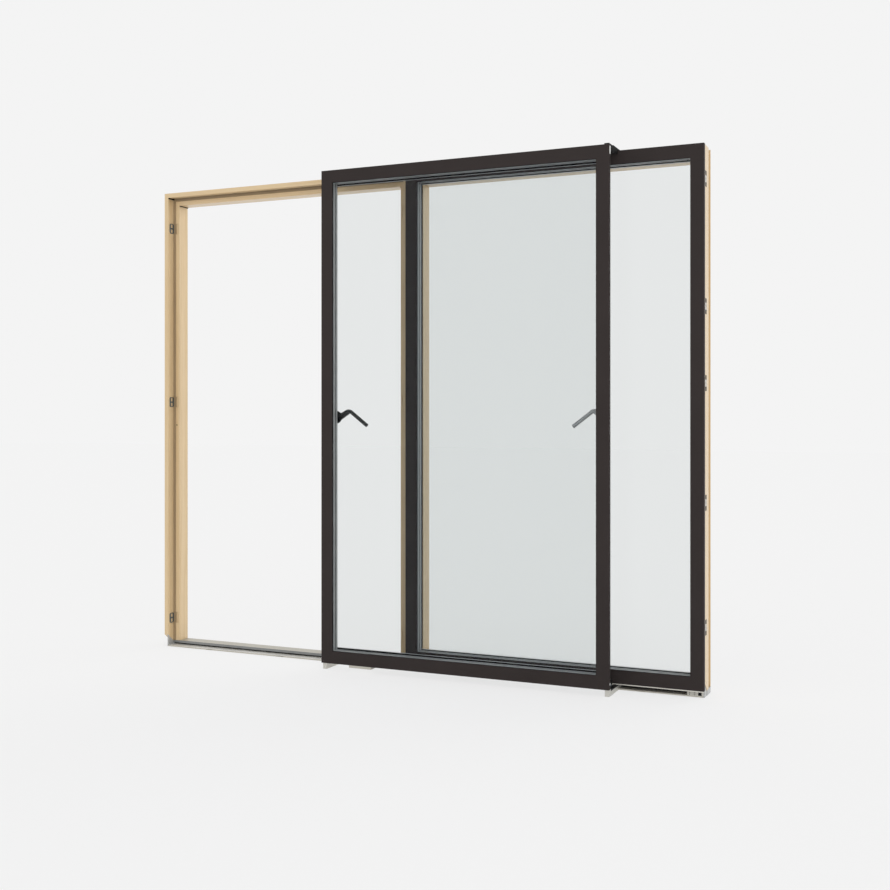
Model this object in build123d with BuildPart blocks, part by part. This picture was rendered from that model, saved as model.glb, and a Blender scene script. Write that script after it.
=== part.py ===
"""Parallel-sliding terrace door in a pine frame, seen from outdoors with its leaf half open.

Millimetres, +Z up. X runs along the door with zero at the middle of the frame, Y runs from
outdoors (minus) to indoors (plus) with zero at the middle of the frame's depth, and Z starts
at the underside of the threshold.
"""
import os

from build123d import *

os.makedirs("parts", exist_ok=True)

# Timber frame
frame_width = 2490.0
frame_height = 2090.0
frame_depth = 105.0
section_width = 52.0
fin_width = 20.0
fin_depth = 42.0
side_groove_width = 35.0
side_groove_depth = 8.0
side_lip = 3.5
fin_foot_front = 53.0
fin_foot_back = 18.0
mullion_width = 104.0
mullion_fin_width = 40.0
mullion_foot_gap = 8.0

# Aluminium threshold
ledge_height = 5.0
tread_height = 22.0
slot_height = 6.0
slot_depth = 8.0
threshold_wall = 3.0
end_plate = 4.0
end_plate_inset = 2.0
drain_length = 34.0
drain_height = 3.0
drain_depth = 6.0
drain_spacing = 370.0
drain_from_end = 251.5
drains_each_side = 3

# Section that the fixed light and the sliding leaf share, from the outer edge inwards
light_bottom = 27.5
top_lap = 2.5
cladding_proud = 20.0
sheet = 2.0
body_gap = 4.0
core_width = 16.0
face_lap = 12.0
gasket = 1.0
fixed_stile_bead = 10.0
fixed_rail_bead = 16.0
leaf_stile_bead = 5.0
leaf_rail_bead = 19.0
panes = 3
pane = 4.0
cavity = 16.0
glass_gap = 2.0
spacer_width = 11.0
spacer_lap = 1.0
fixed_sill_lap = 34.0

# Sliding leaf at rest: pushed out and slid along
push_out = 124.0
rest_from_right = 332.0
closing_gap = 5.0
flange_gap = 2.0

# Running gear
arm_width = 18.0
arm_edge = 2.0
arm_front = 10.5
riser_depth = 20.0
arm_clearance = 0.5
arm_height = 18.0
cover_height = 4.0
ledge_clearance = 5.5
run_gap = 0.3
carriage_length = 50.0
tongue_length = 20.0
tongue_height = 4.5
tongue_reach = 5.5
top_arm_width = 19.0
top_arm_thickness = 4.0
top_arm_lift = 3.0
top_foot_length = 46.0
top_joggle = 10.0
gusset_thickness = 4.0
gusset_drop = 30.0
gusset_tail = 18.0
gusset_clearance = 5.5
guide_width = 16.0
guide_depth = 12.0
guide_wall = 2.0
guide_set_back = 10.5
guide_pin_radius = 4.0
head_rail_width = 14.0
head_rail_height = 12.0
plate_from_edge = 131.0
plate_length = 103.0
plate_depth = 40.0
plate_thickness = 10.0
pivot_height = 18.0
pivot_depth = 16.0
pivot_width = 20.0
pivot_from_edge = 22.0
edge_plate_height = 30.0
edge_plate_depth = 12.0
edge_plate_thickness = 1.0
edge_plate_from_top = 6.0
edge_plate_from_face = 4.0
edge_stud_radius = 4.5
stop_length = 62.0
stop_depth = 32.5
stop_height = 15.0
stop_hole_radius = 1.8
stop_holes_from_end = 19.0
stop_holes_apart = 19.0
stop_holes_rise = 7.0
stop_slot_length = 13.0
stop_slot_height = 13.0
stop_slot_from_end = 7.0
buffer_set_back = 1.0
lining_thickness = 1.2

# Lock keeps, seals and frame fixings
keep_height = 45.0
keep_width = 28.0
keep_thickness = 2.5
keep_window = 16.0
keep_corner = 5.0
keep_windows_apart = 22.5
keep_from_bottom = 128.0
keep_middle = 1127.0
keep_from_top = 159.0
keep_from_rebate = 3.5
pocket_width = 26.0
pocket_depth = 4.0
pocket_margin = 1.5
seal_width = 12.0
seal_groove = 5.0
seal_proud = 2.0
clip_height = 60.0
clip_width = 24.0
clip_thickness = 3.0
clip_set_back = 4.0
clip_from_bottom = (264.0, 736.0, 1189.0)
clip_from_top = (610.0, 127.0)
sleeve_width = 15.0
sleeve_height = 26.0
fixing_radius = 4.0
fixing_depth = 17.0

# Lever handles
handle_height = 1058.5
handle_from_edge = 40.0
rosette_radius = 27.0
rosette_thickness = 16.0
rosette_top_radius = 13.0
lever_radius = 7.8
lever_stand_off = 31.5
lever_knee_reach = 47.0
lever_knee_rise = 27.0
lever_tip_reach = 130.0
lever_tip_drop = 36.0
lever_bend = 12.0
hub_radius = 12.0
hub_behind = 10.0
hub_edge = 1.5
tip_edge = 1.0

# Planes and edges that the pieces share
half_width = frame_width / 2
front_y = -frame_depth / 2
rebate_y = front_y + fin_depth
back_y = frame_depth / 2
rear_mid_y = (rebate_y + back_y) / 2
rear_depth = back_y - rebate_y
fin_mid_y = (front_y + rebate_y) / 2
jamb_inner_x = half_width - section_width
fin_inner_x = half_width - fin_width
head_bottom = frame_height - section_width
head_fin_bottom = frame_height - fin_width
top_seal_z = head_fin_bottom - seal_width / 2
mullion_x = mullion_width / 2
mullion_fin_x = mullion_fin_width / 2
slot_back_y = rebate_y + slot_depth
ledge_right_x = half_width - end_plate_inset - end_plate
tread_end_x = half_width - end_plate

light_width = half_width
light_top = frame_height + top_lap
light_height = light_top - light_bottom
light_mid_z = (light_top + light_bottom) / 2
body_inset = fin_width + body_gap
core_inner = body_inset + core_width
face_width = core_inner + face_lap
glass_inset = core_inner + glass_gap
spacer_inner = face_width + spacer_lap
glass_front = sheet + gasket
pane_step = pane + cavity
glass_back = glass_front + panes * pane_step - cavity
fixed_front_y = front_y - cladding_proud
fixed_depth = cladding_proud + fin_depth
fixed_mid_x = half_width - light_width / 2
leaf_front_y = fixed_front_y - push_out
leaf_depth = fixed_depth - closing_gap
leaf_back_y = leaf_front_y + leaf_depth
leaf_right_x = half_width - rest_from_right
leaf_left_x = leaf_right_x - light_width
leaf_mid_x = leaf_left_x + light_width / 2
fixed_sill_top = light_bottom + fixed_sill_lap

keep_levels = (keep_from_bottom, keep_middle, frame_height - keep_from_top)
clip_levels = clip_from_bottom + tuple(frame_height - drop for drop in clip_from_top)
clip_y = front_y + clip_set_back + clip_width / 2
guide_front_y = front_y + guide_set_back
guide_mid_y = guide_front_y + guide_width / 2
head_rail_mid_y = rebate_y - head_rail_width / 2

corner_signs = {
    "left_stile": ((-1, -1), (-1, 1)),
    "top_rail": ((-1, 1), (1, 1)),
    "right_stile": ((1, 1), (1, -1)),
    "bottom_rail": ((1, -1), (-1, -1)),
}


def save(part, name):
    """Labels a finished piece and writes it under its own name."""
    part.label = name
    export_step(part, f"parts/{name}.step")


def light_face(mid_x, y):
    """The drawing plane across a light, facing outdoors, centred on the light."""
    return Plane(origin=(mid_x, y, light_mid_z), x_dir=(1, 0, 0), z_dir=(0, -1, 0))


def light_rings(mid_x, face_y, rings):
    """Rectangular rings round a light; each is outer inset, inner inset, front and back depth."""
    with BuildPart() as piece:
        for outer, inner, front, back in rings:
            with BuildSketch(light_face(mid_x, face_y + front)):
                Rectangle(light_width - 2 * outer, light_height - 2 * outer)
                Rectangle(light_width - 2 * inner, light_height - 2 * inner, mode=Mode.SUBTRACT)
            extrude(amount=front - back)
    return piece.part


def light_side(mid_x, face_y, rings, side):
    """One mitred side of such rings: a stile or a rail."""
    half_w = light_width / 2
    half_h = light_height / 2
    inmost = max(inner for outer, inner, front, back in rings)
    deepest = max(back for outer, inner, front, back in rings)
    first, second = corner_signs[side]
    with BuildPart() as piece:
        add(light_rings(mid_x, face_y, rings))
        with BuildSketch(light_face(mid_x, face_y)):
            Polygon(
                (first[0] * half_w, first[1] * half_h),
                (second[0] * half_w, second[1] * half_h),
                (second[0] * (half_w - inmost), second[1] * (half_h - inmost)),
                (first[0] * (half_w - inmost), first[1] * (half_h - inmost)),
                align=None,
            )
        extrude(amount=-deepest, mode=Mode.INTERSECT)
    return piece.part


def make_light(name, mid_x, face_y, depth, flange_depth, stile_bead, rail_bead):
    """Cladding, core, bead, gaskets, spacers and panes of one light."""
    cladding = ((0, face_width, 0, sheet), (0, sheet, 0, flange_depth))
    core = ((body_inset, core_inner, sheet, depth),)
    for side in corner_signs:
        save(light_side(mid_x, face_y, cladding, side), f"{name}_{side}")
        save(light_side(mid_x, face_y, core, side), f"{name}_core_{side}")
    bead_front = glass_back + gasket
    bead_inner = core_inner + stile_bead
    with BuildPart() as bead:
        with BuildSketch(light_face(mid_x, face_y + bead_front)):
            Rectangle(light_width - 2 * core_inner, light_height - 2 * core_inner)
            clear_height = light_height - 2 * (core_inner + rail_bead)
            Rectangle(light_width - 2 * bead_inner, clear_height, mode=Mode.SUBTRACT)
        extrude(amount=bead_front - depth)
    save(bead.part, f"{name}_bead")
    gaskets = (
        (face_width - sheet, face_width, sheet, glass_front),
        (glass_inset, bead_inner, glass_back, bead_front),
    )
    save(light_rings(mid_x, face_y, gaskets), f"{name}_gaskets")
    spacers = [
        (spacer_inner - spacer_width, spacer_inner, back - cavity, back)
        for back in (glass_front + layer * pane_step for layer in range(1, panes))
    ]
    save(light_rings(mid_x, face_y, spacers), f"{name}_spacers")
    with BuildPart() as glass:
        for layer in range(panes):
            with BuildSketch(light_face(mid_x, face_y + glass_front + layer * pane_step)):
                Rectangle(light_width - 2 * glass_inset, light_height - 2 * glass_inset)
            extrude(amount=-pane)
    save(glass.part, f"{name}_glass")


def make_jamb(side):
    """A side post of the frame: side is -1 for the left one and 1 for the right one."""
    with BuildPart() as jamb:
        with BuildSketch(Plane.XY.offset(tread_height)):
            with Locations((side * (half_width - section_width / 2), rear_mid_y)):
                Rectangle(section_width, rear_depth)
            groove_mid_y = back_y - side_lip - side_groove_width / 2
            with Locations((side * (half_width - side_groove_depth / 2), groove_mid_y)):
                Rectangle(side_groove_depth, side_groove_width, mode=Mode.SUBTRACT)
        extrude(amount=frame_height - tread_height)
        with BuildSketch(Plane.YZ.offset(side * half_width)):
            Polygon(
                (front_y, fin_foot_front),
                (rebate_y, fin_foot_back),
                (rebate_y, frame_height),
                (front_y, frame_height),
                align=None,
            )
        extrude(amount=-side * fin_width)
        for level in clip_levels:
            with Locations((side * (half_width - clip_thickness / 2), clip_y, level)):
                Box(clip_thickness, clip_width, clip_height, mode=Mode.SUBTRACT)
            with Locations((side * (half_width - fixing_depth / 2), clip_y, level)):
                Box(fixing_depth, sleeve_width, sleeve_height, mode=Mode.SUBTRACT)
        if side < 0:
            with Locations((-fin_inner_x + seal_width / 2, rebate_y + seal_groove / 2, frame_height / 2)):
                Box(seal_width, seal_groove, frame_height, mode=Mode.SUBTRACT)
            with Locations((-(fin_inner_x + jamb_inner_x) / 2, rebate_y + seal_groove / 2, top_seal_z)):
                Box(section_width - fin_width, seal_groove, seal_width, mode=Mode.SUBTRACT)
            for level in keep_levels:
                with Locations((-fin_inner_x + pocket_width / 2, rebate_y + pocket_depth / 2, level)):
                    Box(pocket_width, pocket_depth, keep_height + 2 * pocket_margin, mode=Mode.SUBTRACT)
    return jamb.part


save(make_jamb(-1), "left_jamb")
save(make_jamb(1), "right_jamb")

# Head between the jambs, with a groove along its top for the upper guide and one below for the rail
with BuildPart() as frame_head:
    with BuildSketch(Plane.YZ.offset(-jamb_inner_x)):
        with Locations((rear_mid_y, frame_height - section_width / 2)):
            Rectangle(rear_depth, section_width)
    extrude(amount=2 * jamb_inner_x)
    with BuildSketch(Plane.YZ.offset(-fin_inner_x)):
        with Locations((fin_mid_y, frame_height - fin_width / 2)):
            Rectangle(fin_depth, fin_width)
    extrude(amount=2 * fin_inner_x)
    with BuildSketch(Plane.YZ):
        with Locations((guide_mid_y, frame_height - guide_depth / 2)):
            Rectangle(guide_width, guide_depth)
    extrude(amount=fin_inner_x, mode=Mode.SUBTRACT)
    with BuildSketch(Plane.YZ.offset(-fin_inner_x)):
        with Locations((head_rail_mid_y, head_fin_bottom + head_rail_height / 2)):
            Rectangle(head_rail_width, head_rail_height)
    extrude(amount=fin_inner_x - mullion_fin_x, mode=Mode.SUBTRACT)
    with Locations((-(jamb_inner_x + mullion_fin_x) / 2, rebate_y + seal_groove / 2, top_seal_z)):
        Box(jamb_inner_x - mullion_fin_x, seal_groove, seal_width, mode=Mode.SUBTRACT)
    with Locations((-mullion_fin_x - seal_width / 2, rebate_y + seal_groove / 2, head_bottom)):
        Box(seal_width, seal_groove, 2 * (head_fin_bottom - head_bottom), mode=Mode.SUBTRACT)
save(frame_head.part, "frame_head")

# Mullion with its front fin, which stops short of the ledge so that the carriages pass below
mullion_foot = light_bottom + mullion_foot_gap
with BuildPart() as mullion:
    with BuildSketch(Plane.XY.offset(tread_height)):
        with Locations((0, rear_mid_y)):
            Rectangle(mullion_width, rear_depth)
        with Locations((seal_width / 2 - mullion_fin_x - seal_width, rebate_y + seal_groove / 2)):
            Rectangle(seal_width, seal_groove, mode=Mode.SUBTRACT)
    extrude(amount=head_bottom - tread_height)
    with BuildSketch(Plane.XY.offset(mullion_foot)):
        with Locations((0, fin_mid_y)):
            Rectangle(mullion_fin_width, fin_depth)
    extrude(amount=head_fin_bottom - mullion_foot)
    for level in keep_levels:
        with Locations((-mullion_fin_x - pocket_width / 2, rebate_y + pocket_depth / 2, level)):
            Box(pocket_width, pocket_depth, keep_height + 2 * pocket_margin, mode=Mode.SUBTRACT)
save(mullion.part, "mullion")

# Threshold: a hollow tread under the jambs, whose nosing hangs over the back of the running rail
chamber_height = tread_height - 2 * threshold_wall
chamber_width = (back_y - slot_back_y - 3 * threshold_wall) / 2
chamber_step = chamber_width + threshold_wall
with BuildPart() as threshold:
    with BuildSketch(Plane.YZ.offset(-tread_end_x)):
        Polygon(
            (slot_back_y, 0),
            (back_y, 0),
            (back_y, tread_height),
            (rebate_y, tread_height),
            (rebate_y, ledge_height + slot_height),
            (slot_back_y, ledge_height + slot_height),
            align=None,
        )
        with Locations(((slot_back_y + back_y) / 2, tread_height / 2)):
            with GridLocations(chamber_step, 1, 2, 1):
                Rectangle(chamber_width, chamber_height, mode=Mode.SUBTRACT)
    extrude(amount=2 * tread_end_x)
save(threshold.part, "threshold")

# Running rail: a flat ledge in front of the tread, with drain slots in its front edge
ledge_length = ledge_right_x + fin_inner_x
ledge_mid_x = (ledge_right_x - fin_inner_x) / 2
with BuildPart() as running_rail:
    with BuildSketch(Plane.XY):
        with Locations((ledge_mid_x, (front_y + slot_back_y) / 2)):
            Rectangle(ledge_length, slot_back_y - front_y)
    extrude(amount=ledge_height)
    for side in (-1, 1):
        for step in range(drains_each_side):
            drain_x = side * (half_width - drain_from_end - step * drain_spacing)
            with Locations((drain_x, front_y, ledge_height / 2)):
                Box(drain_length, 2 * drain_depth, drain_height, mode=Mode.SUBTRACT)
save(running_rail.part, "running_rail")

# Black lining at the back of the running slot
with BuildPart() as slot_lining:
    with Locations((ledge_mid_x, slot_back_y - lining_thickness / 2, ledge_height + slot_height / 2)):
        Box(ledge_length, lining_thickness, slot_height)
save(slot_lining.part, "slot_lining")

# Plates that close the ends of the ledge under the bevelled fins, and the ends of the tread
with BuildPart() as threshold_end_plates:
    for plate_x in (-fin_inner_x - end_plate, ledge_right_x):
        with BuildSketch(Plane.YZ.offset(plate_x)):
            Polygon(
                (front_y, 0),
                (rebate_y, 0),
                (rebate_y, fin_foot_back),
                (front_y, fin_foot_front),
                align=None,
            )
        extrude(amount=end_plate)
    for side in (-1, 1):
        with Locations((side * (half_width - end_plate / 2), rear_mid_y, tread_height / 2)):
            Box(end_plate, rear_depth, tread_height)
save(threshold_end_plates.part, "threshold_end_plates")

# Stop block at the right end of the ledge, with a black buffer in its slot
stop_left_x = ledge_right_x - stop_length
stop_slot_x = ledge_right_x - stop_slot_from_end - stop_slot_length / 2
stop_mid_z = ledge_height + stop_height / 2
with BuildPart() as rail_end_stop:
    with Locations((ledge_right_x - stop_length / 2, front_y + stop_depth / 2, stop_mid_z)):
        Box(stop_length, stop_depth, stop_height)
    with Locations((stop_slot_x, front_y, stop_mid_z)):
        Box(stop_slot_length, stop_depth, stop_slot_height, mode=Mode.SUBTRACT)
    with Locations(Plane.XZ.offset(-front_y)):
        with Locations((stop_left_x + stop_holes_from_end, stop_mid_z)):
            with GridLocations(stop_holes_apart, stop_holes_rise, 2, 2):
                Hole(stop_hole_radius, depth=stop_depth / 2)
save(rail_end_stop.part, "rail_end_stop")

buffer_depth = stop_depth / 2 - buffer_set_back
with BuildPart() as stop_buffer:
    with Locations((stop_slot_x, front_y + stop_depth / 2 - buffer_depth / 2, stop_mid_z)):
        Box(stop_slot_length, buffer_depth, stop_slot_height)
save(stop_buffer.part, "stop_buffer")

# Timber sill behind the foot of the fixed light
with BuildPart() as fixed_sill:
    with BuildSketch(Plane.XY.offset(tread_height)):
        with Locations(((mullion_x + jamb_inner_x) / 2, rear_mid_y)):
            Rectangle(jamb_inner_x - mullion_x, rear_depth)
    extrude(amount=fixed_sill_top - tread_height)
save(fixed_sill.part, "fixed_sill")

# Channel in the head's top that guides the upper right arm
with BuildPart() as top_guide:
    with BuildSketch(Plane.YZ):
        with Locations((guide_mid_y, frame_height - guide_depth / 2)):
            Rectangle(guide_width, guide_depth)
        with Locations((guide_mid_y, frame_height - (guide_depth - guide_wall) / 2)):
            Rectangle(guide_width - 2 * guide_wall, guide_depth - guide_wall, mode=Mode.SUBTRACT)
    extrude(amount=fin_inner_x)
save(top_guide.part, "top_guide")

# Channel let into the underside of the head's fin, which guides the upper left arm
with BuildPart() as head_rail:
    with BuildSketch(Plane.YZ.offset(-fin_inner_x)):
        with Locations((head_rail_mid_y, head_fin_bottom + head_rail_height / 2)):
            Rectangle(head_rail_width, head_rail_height)
        with Locations((head_rail_mid_y, head_fin_bottom + (head_rail_height - guide_wall) / 2)):
            Rectangle(head_rail_width - 2 * guide_wall, head_rail_height - guide_wall, mode=Mode.SUBTRACT)
    extrude(amount=fin_inner_x - mullion_fin_x)
save(head_rail.part, "head_rail")

# Lock keeps on the jamb and on the mullion, each with two windows for the bolts
keep_y = rebate_y - keep_from_rebate - keep_width / 2
with BuildPart() as lock_keeps:
    for face_x, outward in ((-fin_inner_x, 1), (-mullion_fin_x, -1)):
        for level in keep_levels:
            with BuildSketch(Plane.YZ.offset(face_x)):
                with Locations((keep_y, level)):
                    plate = Rectangle(keep_width, keep_height)
                    chamfer(plate.vertices(), keep_corner)
                    with GridLocations(1, keep_windows_apart, 1, 2):
                        Rectangle(keep_window, keep_window, mode=Mode.SUBTRACT)
            extrude(amount=outward * keep_thickness)
save(lock_keeps.part, "lock_keeps")

# Weather seal set into the rebate at the sides and top of the doorway
doorway_mid_x = -(fin_inner_x + mullion_fin_x) / 2
with BuildPart() as doorway_seals:
    with BuildSketch(Plane.XZ.offset(-rebate_y - seal_groove)):
        with Locations((doorway_mid_x, (tread_height + head_fin_bottom) / 2)):
            Rectangle(fin_inner_x - mullion_fin_x, head_fin_bottom - tread_height)
        with Locations((doorway_mid_x, (tread_height + head_fin_bottom - seal_width) / 2)):
            Rectangle(
                fin_inner_x - mullion_fin_x - 2 * seal_width,
                head_fin_bottom - seal_width - tread_height,
                mode=Mode.SUBTRACT,
            )
    extrude(amount=seal_groove + seal_proud)
save(doorway_seals.part, "doorway_seals")

# Clips let into the outer sides of the jambs, each with a sleeve for a fixing screw
with BuildPart() as fixing_clips:
    for side in (-1, 1):
        for level in clip_levels:
            with Locations((side * (half_width - clip_thickness / 2), clip_y, level)):
                Box(clip_thickness, clip_width, clip_height)
                Box(clip_thickness, sleeve_width, sleeve_height, mode=Mode.SUBTRACT)
save(fixing_clips.part, "fixing_clips")

with BuildPart() as fixing_sleeves:
    for side in (-1, 1):
        for level in clip_levels:
            with Locations((side * (half_width - fixing_depth / 2), clip_y, level)):
                Box(fixing_depth, sleeve_width, sleeve_height)
                Cylinder(fixing_radius, fixing_depth, rotation=(0, 90, 0), mode=Mode.SUBTRACT)
save(fixing_sleeves.part, "fixing_sleeves")

leaf_flange = cladding_proud - flange_gap
make_light(
    "fixed", fixed_mid_x, fixed_front_y, fixed_depth, cladding_proud, fixed_stile_bead, fixed_rail_bead
)
make_light("leaf", leaf_mid_x, leaf_front_y, leaf_depth, leaf_flange, leaf_stile_bead, leaf_rail_bead)

# Lower arms: a riser under each end of the leaf and a bar back to the carriage on the ledge
arm_front_y = leaf_front_y + arm_front
carriage_front_y = front_y + arm_edge
arm_top = arm_clearance + arm_height
arm_step = ledge_height + run_gap
arm_lefts = {"left": leaf_left_x + arm_edge, "right": leaf_right_x - arm_edge - arm_width}
for end, arm_x in arm_lefts.items():
    with BuildPart() as arm:
        with BuildSketch(Plane.YZ.offset(arm_x)):
            Polygon(
                (arm_front_y, arm_clearance),
                (front_y - ledge_clearance, arm_clearance),
                (front_y - ledge_clearance, arm_step),
                (carriage_front_y, arm_step),
                (carriage_front_y, arm_top),
                (arm_front_y + riser_depth, arm_top),
                (arm_front_y + riser_depth, light_bottom),
                (arm_front_y, light_bottom),
                align=None,
            )
        extrude(amount=arm_width)
    save(arm.part, f"lower_{end}_arm")

# Black covers on the lower arms
with BuildPart() as arm_covers:
    cover_length = front_y - arm_front_y - riser_depth
    for arm_x in arm_lefts.values():
        with Locations((arm_x + arm_width / 2, front_y - cover_length / 2, arm_top + cover_height / 2)):
            Box(arm_width, cover_length, cover_height)
save(arm_covers.part, "arm_covers")

# Carriages on the ledge, each with a tongue in the running slot
carriage_back_y = rebate_y - arm_edge
carriage_mid_y = (carriage_front_y + carriage_back_y) / 2
tongue_back_y = rebate_y + tongue_reach
carriage_lefts = (leaf_left_x + arm_edge, leaf_right_x - arm_edge - carriage_length)
tongue_lefts = (
    leaf_left_x + arm_edge + carriage_length - tongue_length,
    leaf_right_x - arm_edge - carriage_length,
)
with BuildPart() as carriages:
    for carriage_x, tongue_x in zip(carriage_lefts, tongue_lefts):
        with BuildSketch(Plane.YZ.offset(carriage_x)):
            with Locations((carriage_mid_y, (arm_step + arm_top) / 2)):
                Rectangle(carriage_back_y - carriage_front_y, arm_top - arm_step)
        extrude(amount=carriage_length)
        with BuildSketch(Plane.YZ.offset(tongue_x)):
            with Locations(((carriage_back_y + tongue_back_y) / 2, arm_step + tongue_height / 2)):
                Rectangle(tongue_back_y - carriage_back_y, tongue_height)
        extrude(amount=tongue_length)
save(carriages.part, "carriages")

# Upper right arm: a cranked flat bar over both lights, with a gusset and a pin in the top guide
bar_low = light_top
bar_high = light_top + top_arm_lift
joggle_y = leaf_front_y + top_foot_length
bar_end_y = guide_mid_y + top_arm_width / 2
top_right_x = leaf_right_x - top_arm_width
with BuildPart() as upper_right_arm:
    with BuildSketch(Plane.YZ.offset(top_right_x)):
        Polygon(
            (leaf_front_y, bar_low),
            (joggle_y, bar_low),
            (joggle_y + top_joggle, bar_high),
            (bar_end_y, bar_high),
            (bar_end_y, bar_high + top_arm_thickness),
            (joggle_y + top_joggle, bar_high + top_arm_thickness),
            (joggle_y, bar_low + top_arm_thickness),
            (leaf_front_y, bar_low + top_arm_thickness),
            align=None,
        )
    extrude(amount=top_arm_width)
    pin_foot = frame_height - guide_depth + guide_wall + run_gap
    with BuildSketch(Plane.XY.offset(pin_foot)):
        with Locations((top_right_x + top_arm_width / 2, guide_mid_y)):
            Circle(guide_pin_radius)
    extrude(amount=bar_high - pin_foot)
    gusset_front_y = leaf_front_y + leaf_flange
    gusset_back_y = fixed_front_y - gusset_clearance
    with BuildSketch(Plane.YZ.offset(leaf_right_x - gusset_thickness)):
        Polygon(
            (gusset_front_y, bar_low - gusset_drop),
            (gusset_back_y, bar_high - gusset_tail),
            (gusset_back_y, bar_high),
            (joggle_y + top_joggle, bar_high),
            (joggle_y, bar_low),
            (gusset_front_y, bar_low),
            align=None,
        )
    extrude(amount=gusset_thickness)
save(upper_right_arm.part, "upper_right_arm")

# Upper left arm: a flat bar from the leaf's back, under the head rail, with a pin up into it
left_bar_top = head_fin_bottom - top_arm_lift
left_bar_end_y = head_rail_mid_y + guide_pin_radius
with BuildPart() as upper_left_arm:
    with BuildSketch(Plane.YZ.offset(leaf_left_x + body_inset)):
        with Locations(((leaf_back_y + left_bar_end_y) / 2, left_bar_top - top_arm_thickness / 2)):
            Rectangle(left_bar_end_y - leaf_back_y, top_arm_thickness)
    extrude(amount=top_arm_width)
    with BuildSketch(Plane.XY.offset(left_bar_top)):
        with Locations((leaf_left_x + body_inset + top_arm_width / 2, head_rail_mid_y)):
            Circle(guide_pin_radius)
    extrude(amount=head_fin_bottom + head_rail_height - guide_wall - run_gap - left_bar_top)
save(upper_left_arm.part, "upper_left_arm")

# Pivot blocks behind the flanges at the four corners of the leaf
pivot_mid_y = leaf_back_y - pivot_depth / 2
pivot_xs = (leaf_left_x + body_inset - pivot_width / 2, leaf_right_x - body_inset + pivot_width / 2)
pivot_zs = (light_bottom + pivot_from_edge, light_top - pivot_from_edge)
with BuildPart() as corner_pivots:
    for pivot_x in pivot_xs:
        for pivot_z in pivot_zs:
            with Locations((pivot_x, pivot_mid_y, pivot_z)):
                Box(pivot_width, pivot_depth, pivot_height)
save(corner_pivots.part, "corner_pivots")

# Bright plates and studs on the outer edges of the leaf, beside the pivots
edge_plate_y = leaf_front_y + edge_plate_from_face + edge_plate_depth / 2
edge_plate_z = light_top - edge_plate_from_top - edge_plate_height / 2
with BuildPart() as edge_plates:
    for edge_x, outward in ((leaf_left_x, -1), (leaf_right_x, 1)):
        with Locations((edge_x + outward * edge_plate_thickness / 2, edge_plate_y, edge_plate_z)):
            Box(edge_plate_thickness, edge_plate_depth, edge_plate_height)
        with BuildSketch(Plane.YZ.offset(edge_x)):
            with Locations((edge_plate_y, light_bottom + pivot_from_edge)):
                Circle(edge_stud_radius)
        extrude(amount=outward * edge_plate_thickness)
save(edge_plates.part, "edge_plates")

# Guide plate under the leaf's bottom rail
with BuildPart() as bottom_plate:
    with BuildSketch(Plane.XY.offset(light_bottom)):
        with Locations((leaf_left_x + plate_from_edge + plate_length / 2, leaf_front_y + plate_depth / 2)):
            Rectangle(plate_length, plate_depth)
    extrude(amount=-plate_thickness)
save(bottom_plate.part, "bottom_plate")

# Rosettes under the handles, tapered towards the lever
lever_y = leaf_back_y + lever_stand_off
rosette_face_y = leaf_back_y + rosette_thickness
handle_xs = (leaf_left_x + handle_from_edge, leaf_right_x - handle_from_edge)
with BuildPart() as handle_rosettes:
    for handle_x in handle_xs:
        with BuildSketch(Plane.XZ.offset(-leaf_back_y)):
            with Locations((handle_x, handle_height)):
                Circle(rosette_radius)
        with BuildSketch(Plane.XZ.offset(-rosette_face_y)):
            with Locations((handle_x, handle_height)):
                Circle(rosette_top_radius)
        loft()
save(handle_rosettes.part, "handle_rosettes")


hub_start = rosette_face_y + run_gap
hub_end = lever_y + hub_behind


def make_handle(pivot_x, inward):
    """A cranked lever on its hub; inward is 1 where the glass lies towards +X."""
    lever_plane = Plane(origin=(pivot_x, lever_y, handle_height), x_dir=(1, 0, 0), z_dir=(0, -1, 0))
    with BuildPart() as handle:
        with BuildLine(lever_plane) as path:
            FilletPolyline(
                (0, 0),
                (inward * lever_knee_reach, lever_knee_rise),
                (inward * lever_tip_reach, -lever_tip_drop),
                radius=lever_bend,
            )
        with BuildSketch(Plane(origin=path.line @ 0, z_dir=path.line % 0)):
            Circle(lever_radius)
        sweep()
        tip = path.line @ 1
        chamfer(handle.edges().filter_by(GeomType.CIRCLE).sort_by_distance(tip)[0], tip_edge)
        with BuildSketch(Plane.XZ.offset(-hub_start)):
            with Locations((pivot_x, handle_height)):
                Circle(hub_radius)
        extrude(amount=hub_start - hub_end)
        rim = handle.edges().filter_by(GeomType.CIRCLE).filter_by_position(Axis.Y, hub_end, hub_end)
        chamfer(rim, hub_edge)
    return handle.part


save(make_handle(handle_xs[0], 1), "left_handle")
save(make_handle(handle_xs[1], -1), "right_handle")
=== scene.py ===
"""Looks of the parallel-sliding terrace door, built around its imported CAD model. Metres, +Z up."""
import math

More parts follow.
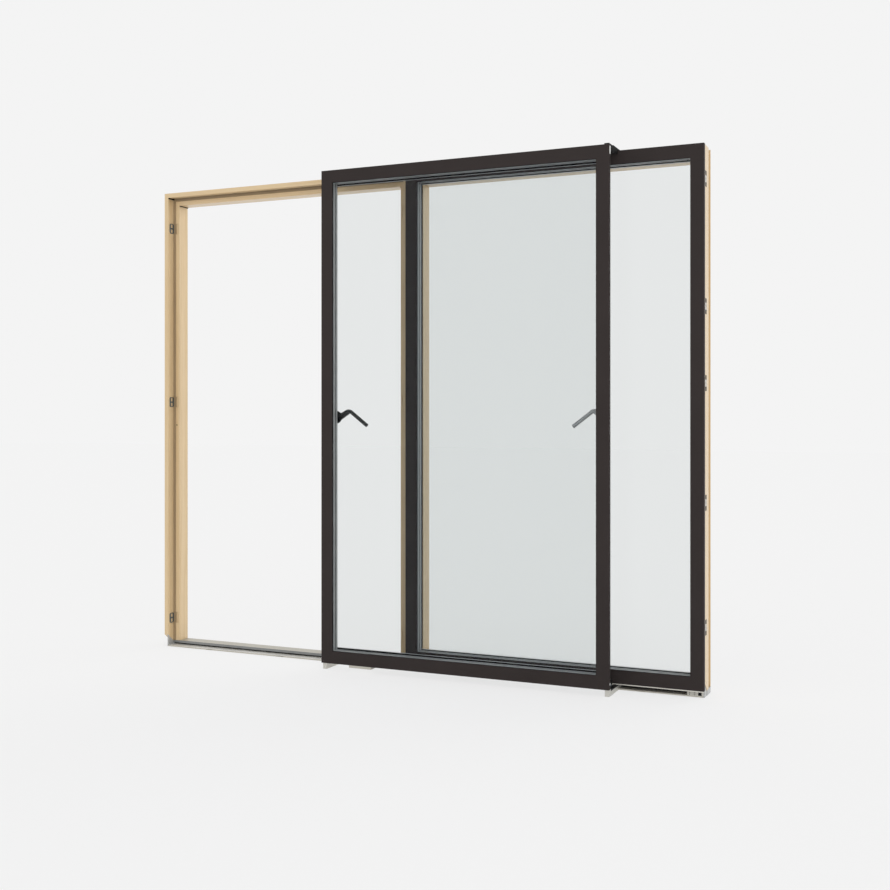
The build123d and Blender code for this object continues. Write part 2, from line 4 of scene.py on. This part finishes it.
import bpy
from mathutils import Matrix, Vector


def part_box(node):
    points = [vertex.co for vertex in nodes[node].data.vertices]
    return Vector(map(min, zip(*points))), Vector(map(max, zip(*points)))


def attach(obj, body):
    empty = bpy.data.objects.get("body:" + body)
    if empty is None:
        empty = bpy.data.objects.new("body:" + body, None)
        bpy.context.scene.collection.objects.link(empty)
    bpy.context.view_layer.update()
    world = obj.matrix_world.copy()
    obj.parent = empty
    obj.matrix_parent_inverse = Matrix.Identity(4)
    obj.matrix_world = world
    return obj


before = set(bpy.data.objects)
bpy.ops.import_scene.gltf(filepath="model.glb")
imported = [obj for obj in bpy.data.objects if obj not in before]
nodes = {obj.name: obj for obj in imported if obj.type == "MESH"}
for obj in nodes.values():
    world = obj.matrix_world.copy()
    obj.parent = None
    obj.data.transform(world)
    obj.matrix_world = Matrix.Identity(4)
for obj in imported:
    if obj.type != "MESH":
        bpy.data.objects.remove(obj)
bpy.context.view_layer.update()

scene = bpy.context.scene

# Camera of the photograph: level, turned to the left, the horizon a little above the picture's middle
CAMERA_PLACE = (2.144, -4.5235, 1.072)
CAMERA_TURN = math.radians(23.8)
CAMERA_LENS = 47.73
CAMERA_SENSOR = 36.0
IMAGE_SIDE = 890
HORIZON_ROW = 414

# Light levels: the dome and the lamps together show a colour about as it is written.
# A lamp is a name, a strength and the turns of its beam.
DOME_STRENGTH = 0.86
LAMPS = (
    ("key", 1.1, (math.radians(78), 0, math.radians(150))),
    ("fill", 0.4, (math.radians(75), 0, math.radians(30))),
)
LAMP_SPREAD = math.radians(50)
BACKGROUND = (0.904, 0.904, 0.904, 1)
FLOOR_SIZE = 60.0
FLOOR_DROP = 0.0005
FLOOR_PLAIN_SHARE = 0.80

# Pine: noise in waves per metre across and along the member
WARP_WAVES = (9.0, 1.1)
STREAK_WAVES = (75.0, 1.6)
FIBRE_WAVES = (900.0, 14.0)
WARP_REACH = 0.03
PITH_AWAY = 0.21
RING_SCALE = 42.0
RING_SHARPNESS = 3.0
LATE_SHARE = 0.55
PALE_SHARE = 0.75
EARLY_WOOD = (0.705, 0.515, 0.285, 1)
LATE_WOOD = (0.570, 0.380, 0.187, 1)
PALE_WOOD = (0.755, 0.590, 0.361, 1)
FIBRE_STRENGTH = 0.25
FIBRE_HEIGHT = 0.0002
PINE_EDGE = 0.0012

# Coats and metals
PEEL_STRENGTH = 0.06
PEEL_HEIGHT = 0.0003
COAT_CLOUDS = 6.0
LINE_WAVES = (1600.0, 5.0)
LINE_STRENGTH = 0.12
LINE_HEIGHT = 0.0002
METAL_CLOUDS = 9.0
METAL_EDGE = 0.0006

# Glass: the tints count for each face that a ray crosses, and two triple units have twelve faces
GLASS_BOUNCES = 32
GLASS_IOR = 1.5
MIRROR_SHARE = 0.06
CLEAR_TINT = (0.9768, 0.9802, 0.9799, 1)
SHADOW_TINT = (0.886, 0.898, 0.912, 1)

# Shader helpers: the middle of a noise, and how squarely a face looks along an axis
NOISE_LOW = 0.3
NOISE_HIGH = 0.7
FACING_LIMIT = 0.6
EDGE_SAMPLES = 4

# Turned fittings, as (radius, height) points from the outer end to the base
SCREW_HEAD = (
    (0, 0.0002), (0.0011, 0.0002), (0.0012, 0.0007), (0.0024, 0.0007), (0.0030, 0.0003), (0.0030, 0),
)
ROLLER = (
    (0, 0.0012), (0.0016, 0.0012), (0.0018, 0.0006), (0.0046, 0.0006), (0.0050, 0.0002), (0.0050, 0),
)
NECK_SLEEVE = (
    (0, 0.0565), (0.0040, 0.0560), (0.0080, 0.0530), (0.0105, 0.0475), (0.0117, 0.0400), (0.0117, 0.0195),
    (0.0100, 0.0190), (0.0100, 0.0180), (0.0130, 0.0175), (0.0130, 0.0120), (0.0079, 0.0115),
)
HUB_CAP = ((0, 0.0010), (0.0050, 0.0010), (0.0062, 0.0004), (0.0064, 0))
TURN_STEPS = 24

# Corners of a bar's six sides, with X counted last
BAR_SIDES = ((0, 1, 3, 2), (4, 6, 7, 5), (0, 4, 5, 1), (2, 3, 7, 6), (0, 2, 6, 4), (1, 5, 7, 3))

# Places of screws and rollers, from the boxes of the nodes that carry them
KEEP_LEVELS = (0.128, 1.127, 1.931)
JAMB_KEEP_INSET = 0.0225
MULLION_KEEP_INSET = 0.0025
REBATE_SCREW_X = -1.2075
REBATE_SCREW_Z = 1.021
REBATE_SCREW_INSET = 0.002
ROLLER_INSETS = (0.030, 0.042)

# Levers: the hub, and the way that the neck leaves it, inwards and up
HANDLE_HEIGHT = 1.0585
HUB_RADIUS = 0.012
HUB_BEHIND = 0.010
NECK_WAY = (0.867, 0.498)

# Seal round the leaf
BODY_INSET = 0.024
SEAL_DEPTH = 0.006
SEAL_WIDTH = 0.0035
SEAL_FROM_BACK = 0.012

# Sections of the timber frame, and the sealant in the upper corners of the doorway
FIN_WIDTH = 0.020
FIN_DEPTH = 0.042
SECTION_WIDTH = 0.052
MULLION_HALF = 0.052
MULLION_FIN_HALF = 0.020
REBATE_SEALANT = 0.005
REVEAL_SEALANT = 0.003

# Drip edge under the fixed light, as (depth, height) from the lower front edge of its cladding
DRIP_EDGE = (
    (0.0010, 0), (0.0010, -0.0024), (0.0003, -0.0032), (0.0003, -0.0040), (0.0030, -0.0040), (0.0030, 0),
)
DRIP_END = 0.002


def make_camera():
    data = bpy.data.cameras.new("camera")
    data.lens = CAMERA_LENS
    data.sensor_width = CAMERA_SENSOR
    data.shift_y = (HORIZON_ROW - IMAGE_SIDE / 2) / IMAGE_SIDE
    camera = bpy.data.objects.new("camera", data)
    camera.location = CAMERA_PLACE
    camera.rotation_euler = (math.pi / 2, 0, CAMERA_TURN)
    scene.collection.objects.link(camera)
    scene.camera = camera


def by_axis(along, across_value, along_value):
    """A value for each axis: one for the axis named along, another one for the two across it."""
    return tuple(along_value if axis == along else across_value for axis in "XYZ")


class Shader:
    """A material's node tree with short ways to add nodes and join them."""

    def __init__(self, tree):
        self.tree = tree
        self.tree.nodes.clear()

    def add(self, kind, _inputs=None, **settings):
        node = self.tree.nodes.new(kind)
        for name, value in settings.items():
            setattr(node, name, value)
        for name, value in (_inputs or {}).items():
            self.put(node.inputs[name], value)
        return node

    def put(self, socket, value):
        if isinstance(value, bpy.types.NodeSocket):
            self.tree.links.new(value, socket)
        else:
            socket.default_value = value

    def math(self, operation, first, second=0.0):
        node = self.add("ShaderNodeMath", operation=operation)
        self.put(node.inputs[0], first)
        self.put(node.inputs[1], second)
        return node.outputs[0]

    def mix(self, share, first, second):
        """One colour turning into another one."""
        node = self.add("ShaderNodeMix", data_type="RGBA")
        self.put(node.inputs["Factor"], share)
        self.put(node.inputs["A"], first)
        self.put(node.inputs["B"], second)
        return node.outputs["Result"]

    def mix_shaders(self, share, first, second):
        node = self.add("ShaderNodeMixShader", {"Fac": share})
        self.put(node.inputs[1], first)
        self.put(node.inputs[2], second)
        return node.outputs["Shader"]

    def place(self):
        return self.add("ShaderNodeTexCoord").outputs["Object"]

    def stretched(self, scale):
        """Object coordinates scaled along each axis, in waves per metre."""
        mapping = self.add("ShaderNodeMapping", {"Vector": self.place(), "Scale": scale})
        return mapping.outputs["Vector"]

    def noise(self, scale, detail=3.0, rough=0.5):
        node = self.add(
            "ShaderNodeTexNoise",
            {"Vector": self.stretched(scale), "Scale": 1.0, "Detail": detail, "Roughness": rough},
        )
        return node.outputs["Fac"]

    def spread(self, value, low, high):
        """Maps the middle of a noise to the range from low to high."""
        levels = {"From Min": NOISE_LOW, "From Max": NOISE_HIGH, "To Min": low, "To Max": high}
        return self.add("ShaderNodeMapRange", {"Value": value, **levels}).outputs["Result"]

    def scaled(self, level):
        """A node that scales the colour in its first socket by a level."""
        return self.add("ShaderNodeVectorMath", {"Scale": level}, operation="SCALE")

    def rounded(self, radius):
        """A normal that rounds the edges a little."""
        return self.add("ShaderNodeBevel", {"Radius": radius}, samples=EDGE_SAMPLES).outputs["Normal"]

    def facing(self, axis):
        """1 on the faces that look along an axis, either way."""
        normal = self.add("ShaderNodeNewGeometry").outputs["True Normal"]
        part = self.add("ShaderNodeSeparateXYZ", {"Vector": normal}).outputs[axis]
        return self.math("GREATER_THAN", self.math("ABSOLUTE", part), FACING_LIMIT)

    def two_colours(self, socket, colour, other):
        """One colour, or another one on the faces that look along an axis."""
        if other is None:
            socket.default_value = colour
        else:
            axis, second = other
            self.put(socket, self.mix(self.facing(axis), (*colour, 1), (*second, 1)))

    def bump(self, height, strength, distance, normal):
        node = self.add(
            "ShaderNodeBump",
            {"Height": height, "Strength": strength, "Distance": distance, "Normal": normal},
        )
        return node.outputs["Normal"]

    def seen_rays(self):
        """1 for the rays that show the background: camera, glossy and transmission rays."""
        path = self.add("ShaderNodeLightPath")
        seen = self.math("MAXIMUM", path.outputs["Is Camera Ray"], path.outputs["Is Glossy Ray"])
        return self.math("MAXIMUM", seen, path.outputs["Is Transmission Ray"])

    def principled(self, inputs):
        self.surface(self.add("ShaderNodeBsdfPrincipled", inputs).outputs["BSDF"])

    def surface(self, shader, output="ShaderNodeOutputMaterial"):
        self.add(output, {"Surface": shader})


def new_material(name):
    material = bpy.data.materials.new(name)
    material.use_nodes = True
    return material, Shader(material.node_tree)


def pine_rings(make, along):
    """Growth rings round a pith outside the member, bent by a slow noise."""
    waves = make.stretched(by_axis(along, *WARP_WAVES))
    warp = make.add("ShaderNodeTexNoise", {"Vector": waves, "Scale": 1.0, "Detail": 2.0})
    warped = make.add("ShaderNodeVectorMath", operation="MULTIPLY_ADD")
    make.put(warped.inputs[0], warp.outputs["Color"])
    make.put(warped.inputs[1], (WARP_REACH, WARP_REACH, WARP_REACH))
    make.put(warped.inputs[2], make.place())
    pith = make.add(
        "ShaderNodeMapping",
        {"Vector": warped.outputs["Vector"], "Location": by_axis(along, PITH_AWAY, 0)},
    )
    rings = make.add(
        "ShaderNodeTexWave",
        {"Vector": pith.outputs["Vector"], "Scale": RING_SCALE, "Distortion": 0.0},
        wave_type="RINGS",
        rings_direction=along,
        wave_profile="SAW",
    )
    return rings.outputs["Fac"]


def pine(name, along):
    """Planed and varnished pine: growth rings, streaks and fine fibres along the member."""
    material, make = new_material(name)
    rings = pine_rings(make, along)
    streaks = make.noise(by_axis(along, *STREAK_WAVES), detail=4.0, rough=0.6)
    fibres = make.noise(by_axis(along, *FIBRE_WAVES), detail=2.0, rough=0.6)
    late_share = make.math("MULTIPLY", make.math("POWER", rings, RING_SHARPNESS), LATE_SHARE)
    ringed = make.mix(late_share, EARLY_WOOD, LATE_WOOD)
    streaked = make.mix(make.spread(streaks, 0.0, PALE_SHARE), ringed, PALE_WOOD)
    colour = make.scaled(make.spread(fibres, 0.93, 1.05))
    make.put(colour.inputs[0], streaked)
    make.principled({
        "Base Color": colour.outputs["Vector"],
        "Roughness": make.spread(fibres, 0.62, 0.50),
        "Specular IOR Level": 0.35,
        "Coat Weight": 0.8,
        "Coat Roughness": 0.25,
        "Normal": make.bump(fibres, FIBRE_STRENGTH, FIBRE_HEIGHT, make.rounded(PINE_EDGE)),
    })
    return material


def coated(name, colour, rough=0.42, grain=1400.0, edge=0.0008, metallic=0.0, shine=0.3, other=None):
    """Powder coat, paint or moulded plastic: a fine orange-peel skin over slightly rounded edges.

    other is an axis and the colour of the faces that look along it.
    """
    material, make = new_material(name)
    peel = make.noise((grain, grain, grain), detail=2.0)
    cloud = make.noise((COAT_CLOUDS, COAT_CLOUDS, COAT_CLOUDS))
    tinted = make.scaled(make.spread(cloud, 0.94, 1.06))
    make.two_colours(tinted.inputs[0], colour, other)
    make.principled({
        "Base Color": tinted.outputs["Vector"],
        "Roughness": make.spread(cloud, rough - 0.04, rough + 0.05),
        "Metallic": metallic,
        "Specular IOR Level": shine,
        "Normal": make.bump(peel, PEEL_STRENGTH, PEEL_HEIGHT, make.rounded(edge)),
    })
    return material


def brushed(name, colour, along, metallic=0.45, rough=0.38, other=None):
    """Extruded or brushed metal with fine lines along one axis; other is as in coated."""
    material, make = new_material(name)
    lines = make.noise(by_axis(along, *LINE_WAVES), rough=0.6)
    cloud = make.noise((METAL_CLOUDS, METAL_CLOUDS, METAL_CLOUDS))
    level = make.math("MULTIPLY", make.spread(lines, 0.93, 1.05), make.spread(cloud, 0.95, 1.04))
    tinted = make.scaled(level)
    make.two_colours(tinted.inputs[0], colour, other)
    make.principled({
        "Base Color": tinted.outputs["Vector"],
        "Metallic": metallic,
        "Roughness": make.spread(lines, rough - 0.08, rough + 0.08),
        "Normal": make.bump(lines, LINE_STRENGTH, LINE_HEIGHT, make.rounded(METAL_EDGE)),
    })
    return material


def clear_glass(name):
    """Flat coated panes: faintly tinted, with a weak mirror, and they hold back some of the light."""
    material, make = new_material(name)
    path = make.add("ShaderNodeLightPath")
    dim = make.math("MAXIMUM", path.outputs["Is Shadow Ray"], path.outputs["Is Diffuse Ray"])
    tint = make.add("ShaderNodeBsdfTransparent", {"Color": make.mix(dim, CLEAR_TINT, SHADOW_TINT)})
    mirror = make.add("ShaderNodeBsdfGlossy", {"Color": (1, 1, 1, 1), "Roughness": 0.0})
    fresnel = make.add("ShaderNodeFresnel", {"IOR": GLASS_IOR})
    share = make.math("MULTIPLY", fresnel.outputs["Fac"], MIRROR_SHARE)
    make.surface(make.mix_shaders(share, tint.outputs["BSDF"], mirror.outputs["BSDF"]))
    return material


def make_world():
    """A white dome that lights the object, shown as the pale background."""
    world = bpy.data.worlds.new("studio")
    scene.world = world
    world.use_nodes = True
    make = Shader(world.node_tree)
    dome = make.add("ShaderNodeBackground", {"Color": (1, 1, 1, 1), "Strength": DOME_STRENGTH})
    pale = make.add("ShaderNodeBackground", {"Color": BACKGROUND, "Strength": 1.0})
    mixed = make.mix_shaders(make.seen_rays(), dome.outputs["Background"], pale.outputs["Background"])
    make.surface(mixed, "ShaderNodeOutputWorld")


def make_lamps():
    """Two wide soft lamps that don't show in metal and glass."""
    for name, strength, aim in LAMPS:
        lamp = bpy.data.lights.new(name, "SUN")
        lamp.energy = strength
        lamp.angle = LAMP_SPREAD
        holder = bpy.data.objects.new(name, lamp)
        holder.rotation_euler = aim
        holder.visible_glossy = False
        scene.collection.objects.link(holder)


def new_mesh(name, points, faces):
    mesh = bpy.data.meshes.new(name)
    mesh.from_pydata(points, [], faces)
    return mesh


def make_floor():
    """A pale floor, partly plain and partly lit, so that it keeps the object's shadow."""
    half = FLOOR_SIZE / 2
    corners = [(-half, -half, 0), (half, -half, 0), (half, half, 0), (-half, half, 0)]
    mesh = new_mesh("floor", corners, [(0, 1, 2, 3)])
    floor = bpy.data.objects.new("floor", mesh)
    floor.location.z = -FLOOR_DROP
    scene.collection.objects.link(floor)
    material, make = new_material("floor")
    lit = make.add("ShaderNodeBsdfDiffuse", {"Color": BACKGROUND})
    plain = make.add("ShaderNodeEmission", {"Color": BACKGROUND, "Strength": 1.0})
    share = make.math("MULTIPLY", make.seen_rays(), FLOOR_PLAIN_SHARE)
    make.surface(make.mix_shaders(share, lit.outputs["BSDF"], plain.outputs["Emission"]))
    mesh.materials.append(material)


def dress(material, *names):
    """Gives CAD nodes their finish."""
    for name in names:
        mesh = nodes[name].data
        mesh.materials.clear()
        mesh.materials.append(material)


def shared_finishes():
    """Finishes that CAD nodes and added fittings have in common."""
    return {
        "rubber": coated("rubber", (0.0080, 0.0080, 0.0085), rough=0.65, grain=900.0, shine=0.2),
        "steel": brushed("steel", (0.120, 0.145, 0.165), "Z", rough=0.35),
        "alloy": brushed("alloy", (0.740, 0.715, 0.650), "X", metallic=0.1),
        # The levers are one dark metal: the left lever has its own dark colour, and the right lever's
        # lighter grey is a painted highlight.
        "left_handle": coated("handle_dark", (0.042, 0.045, 0.044), rough=0.36, metallic=0.2),
        "right_handle": coated("handle_painted_highlight", (0.420, 0.425, 0.420), rough=0.30, metallic=0.4),
    }


def dress_frame(rubber):
    """Timber, threshold, guides and clips."""
    dress(pine("pine_upright", "Z"), "left_jamb", "right_jamb", "mullion")
    dress(pine("pine_level", "X"), "frame_head", "fixed_sill")
    # The seals' brown is partly their own colour and partly painted shade, matched to the shade in the
    # rebate corner.
    dress(coated("brown_seal_painted_shade", (0.340, 0.250, 0.150), rough=0.7, grain=900.0), "doorway_seals")
    dress(rubber, "slot_lining", "stop_buffer")
    tread = brushed("tread_metal", (0.255, 0.262, 0.262), "X", other=("Z", (0.480, 0.455, 0.385)))
    dress(tread, "threshold")
    # The faces of this metal that look up are painted far paler than the rest, a painted light for the
    # recess under the cladding.
    painted_light_ledge = brushed("ledge_metal_painted_light", (0.560, 0.535, 0.470), "X", other=("Z", (0.900, 0.885, 0.840)))
    dress(painted_light_ledge, "running_rail", "bottom_plate", "top_guide")
    dress(brushed("end_metal", (0.480, 0.485, 0.480), "Y", metallic=0.3), "threshold_end_plates")
    dress(coated("pale_plastic", (0.660, 0.640, 0.580), rough=0.5), "rail_end_stop")
    dress(coated("bronze", (0.360, 0.260, 0.155), rough=0.5, shine=0.2), "head_rail")
    dress(coated("white_plastic", (0.820, 0.810, 0.770), rough=0.5), "fixing_sleeves")


def dress_lights(rubber):
    """The fixed light and the leaf, which have the same profiles and glazing."""
    sides = ("left_stile", "top_rail", "right_stile", "bottom_rail")
    cladding = coated("cladding", (0.0390, 0.0316, 0.0302), rough=0.5, shine=0.08)
    core = coated("dark_core", (0.0150, 0.0135, 0.0130), rough=0.5, shine=0.12)
    # The bead is dark; its faces that look up or down are painted light grey, a painted light for the
    # light that falls on them.
    bead_painted_light = ("Z", (0.550, 0.560, 0.550))
    bead = coated("bead", (0.0120, 0.0105, 0.0100), rough=0.5, shine=0.2, other=bead_painted_light)
    spacer_side = ("Y", (0.012, 0.013, 0.013))
    spacer = coated("spacer", (0.360, 0.370, 0.365), rough=0.5, grain=2600.0, other=spacer_side)
    glass = clear_glass("glass")
    for light in ("fixed", "leaf"):
        dress(cladding, *(f"{light}_{side}" for side in sides))
        dress(core, *(f"{light}_core_{side}" for side in sides))
        dress(bead, f"{light}_bead")
        dress(rubber, f"{light}_gaskets")
        dress(spacer, f"{light}_spacers")
        dress(glass, f"{light}_glass")


def dress_hardware(finishes):
    """Running gear, lock keeps and handles."""
    arm_metal = brushed("arm_metal", (0.680, 0.665, 0.610), "Y", metallic=0.3)
    dress(arm_metal, "lower_left_arm", "lower_right_arm", "carriages")
    black_metal = coated("black_metal", (0.0060, 0.0060, 0.0060), rough=0.6, shine=0.08)
    dress(black_metal, "upper_left_arm", "upper_right_arm", "corner_pivots")
    black_plastic = coated("black_plastic", (0.0100, 0.0105, 0.0120), rough=0.55, shine=0.2)
    dress(black_plastic, "arm_covers", "fixing_clips")
    dress(finishes["steel"], "lock_keeps")
    dress(brushed("bright_steel", (0.820, 0.820, 0.800), "Z", metallic=0.1), "edge_plates")
    dress(coated("rosette_dark", (0.024, 0.026, 0.026), rough=0.36, metallic=0.2), "handle_rosettes")
    dress(finishes["left_handle"], "left_handle")
    dress(finishes["right_handle"], "right_handle")


def turned(name, profile, places, axis):
    """A mesh of turned pieces: (radius, height) points spun about an axis at each place."""
    turn = Vector((0, 0, 1)).rotation_difference(Vector(axis)).to_matrix()
    points, faces = [], []
    for place in places:
        rings = []
        for radius, height in profile:
            steps = TURN_STEPS if radius else 1
            rings.append([len(points) + step for step in range(steps)])
            for step in range(steps):
                angle = math.tau * step / TURN_STEPS
                spot = Vector((radius * math.cos(angle), radius * math.sin(angle), height))
                points.append(turn @ spot + Vector(place))
        for first, second in zip(rings, rings[1:]):
            for step in range(TURN_STEPS):
                after = (step + 1) % TURN_STEPS
                if len(first) == 1:
                    faces.append((first[0], second[step], second[after]))
                else:
                    faces.append((first[step], second[step], second[after], first[after]))
    return new_mesh(name, points, faces)


def bars(name, boxes):
    """A mesh of square bars, each from its lowest to its highest corner."""
    points, faces = [], []
    for ends in boxes:
        base = len(points)
        xs, ys, zs = zip(*ends)
        points += [(x, y, z) for x in xs for y in ys for z in zs]
        faces += [tuple(base + corner for corner in side) for side in BAR_SIDES]
    return new_mesh(name, points, faces)


def extruded(name, profile, left, right):
    """A mesh of one profile of (depth, height) points, run from left to right along X."""
    count = len(profile)
    points = [(x, depth, height) for x in (left, right) for depth, height in profile]
    faces = [tuple(range(count)), tuple(reversed(range(count, 2 * count)))]
    for first in range(count):
        second = (first + 1) % count
        faces.append((second, first, first + count, second + count))
    return new_mesh(name, points, faces)


def add_piece(mesh, material, body):
    piece = bpy.data.objects.new(mesh.name, mesh)
    mesh.materials.append(material)
    scene.collection.objects.link(piece)
    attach(piece, body)


def add_screws(finishes):
    """Screws in the lock keeps and in the rebate of the left jamb."""
    low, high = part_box("lock_keeps")
    keep_y = (low[1] + high[1]) / 2
    for name, x, outward in (
        ("jamb_keep_screws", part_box("left_jamb")[0][0] + JAMB_KEEP_INSET, 1),
        ("mullion_keep_screws", high[0] - MULLION_KEEP_INSET, -1),
    ):
        places = [(x, keep_y, level) for level in KEEP_LEVELS]
        add_piece(turned(name, SCREW_HEAD, places, (outward, 0, 0)), finishes["steel"], "frame")
    rebate_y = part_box("doorway_seals")[0][1] + REBATE_SCREW_INSET
    place = (REBATE_SCREW_X, rebate_y, REBATE_SCREW_Z)
    screw = turned("rebate_screw", SCREW_HEAD, [place], (0, -1, 0))
    add_piece(screw, finishes["rubber"], "frame")


def add_rollers(steel):
    """Two rollers on the front of each carriage."""
    low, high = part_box("carriages")
    z = (low[2] + high[2]) / 2
    xs = [low[0] + inset for inset in ROLLER_INSETS]
    xs += [high[0] - inset for inset in reversed(ROLLER_INSETS)]
    rollers = turned("carriage_rollers", ROLLER, [(x, low[1], z) for x in xs], (0, -1, 0))
    add_piece(rollers, steel, "leaf")


def add_lever_fittings(finishes):
    """A sleeve on each lever's neck and a cap on its hub."""
    for side, inward in (("left", 1), ("right", -1)):
        handle = f"{side}_handle"
        low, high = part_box(handle)
        hub_x = low[0] + HUB_RADIUS if inward > 0 else high[0] - HUB_RADIUS
        lever_y = high[1] - HUB_BEHIND
        way = (inward * NECK_WAY[0], 0, NECK_WAY[1])
        sleeve = turned(f"{side}_neck_sleeve", NECK_SLEEVE, [(hub_x, lever_y, HANDLE_HEIGHT)], way)
        add_piece(sleeve, finishes[handle], handle)
        cap = turned(f"{side}_hub_cap", HUB_CAP, [(hub_x, high[1], HANDLE_HEIGHT)], (0, 1, 0))
        add_piece(cap, finishes["steel"], handle)


def add_leaf_seal(rubber):
    """A rubber strip round the leaf's core."""
    inset = Vector((BODY_INSET, 0, BODY_INSET))
    low = Vector(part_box("leaf_left_stile")[0]) + inset
    high = Vector(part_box("leaf_right_stile")[1]) - inset
    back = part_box("leaf_core_left_stile")[1][1] - SEAL_FROM_BACK
    front = back - SEAL_DEPTH
    bottom = low.z - SEAL_WIDTH
    top = high.z + SEAL_WIDTH
    strips = (
        ((low.x - SEAL_WIDTH, front, bottom), (low.x, back, top)),
        ((high.x, front, bottom), (high.x + SEAL_WIDTH, back, top)),
        ((low.x, front, bottom), (high.x, back, low.z)),
        ((low.x, front, high.z), (high.x, back, top)),
    )
    add_piece(bars("leaf_seal", strips), rubber, "leaf")


def add_sealant(rubber):
    """Sealant in the upper corners of the doorway, in the rebate and in the reveal behind it."""
    low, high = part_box("left_jamb")
    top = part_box("frame_head")[1][2]
    rebate = low[1] + FIN_DEPTH
    beads = []
    for size, inset, right, front, back in (
        (REBATE_SEALANT, FIN_WIDTH, -MULLION_FIN_HALF, low[1], rebate),
        (REVEAL_SEALANT, SECTION_WIDTH, -MULLION_HALF, rebate, high[1]),
    ):
        for x in (low[0] + inset, right - size):
            beads.append(((x, front, top - inset - size), (x + size, back, top - inset)))
    add_piece(bars("corner_sealant", beads), rubber, "frame")


def add_drip_edge(alloy):
    """A pale profile under the fixed light's cladding."""
    low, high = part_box("fixed_bottom_rail")
    profile = [(low[1] + depth, low[2] + height) for depth, height in DRIP_EDGE]
    drip_edge = extruded("drip_edge", profile, low[0] + DRIP_END, high[0] - DRIP_END)
    add_piece(drip_edge, alloy, "frame")


make_camera()
make_world()
make_lamps()
make_floor()

finishes = shared_finishes()
dress_frame(finishes["rubber"])
dress_lights(finishes["rubber"])
dress_hardware(finishes)

add_screws(finishes)
add_rollers(finishes["steel"])
add_lever_fittings(finishes)
add_leaf_seal(finishes["rubber"])
add_sealant(finishes["rubber"])
add_drip_edge(finishes["alloy"])

scene.view_settings.view_transform = "Standard"
scene.cycles.transparent_max_bounces = GLASS_BOUNCES
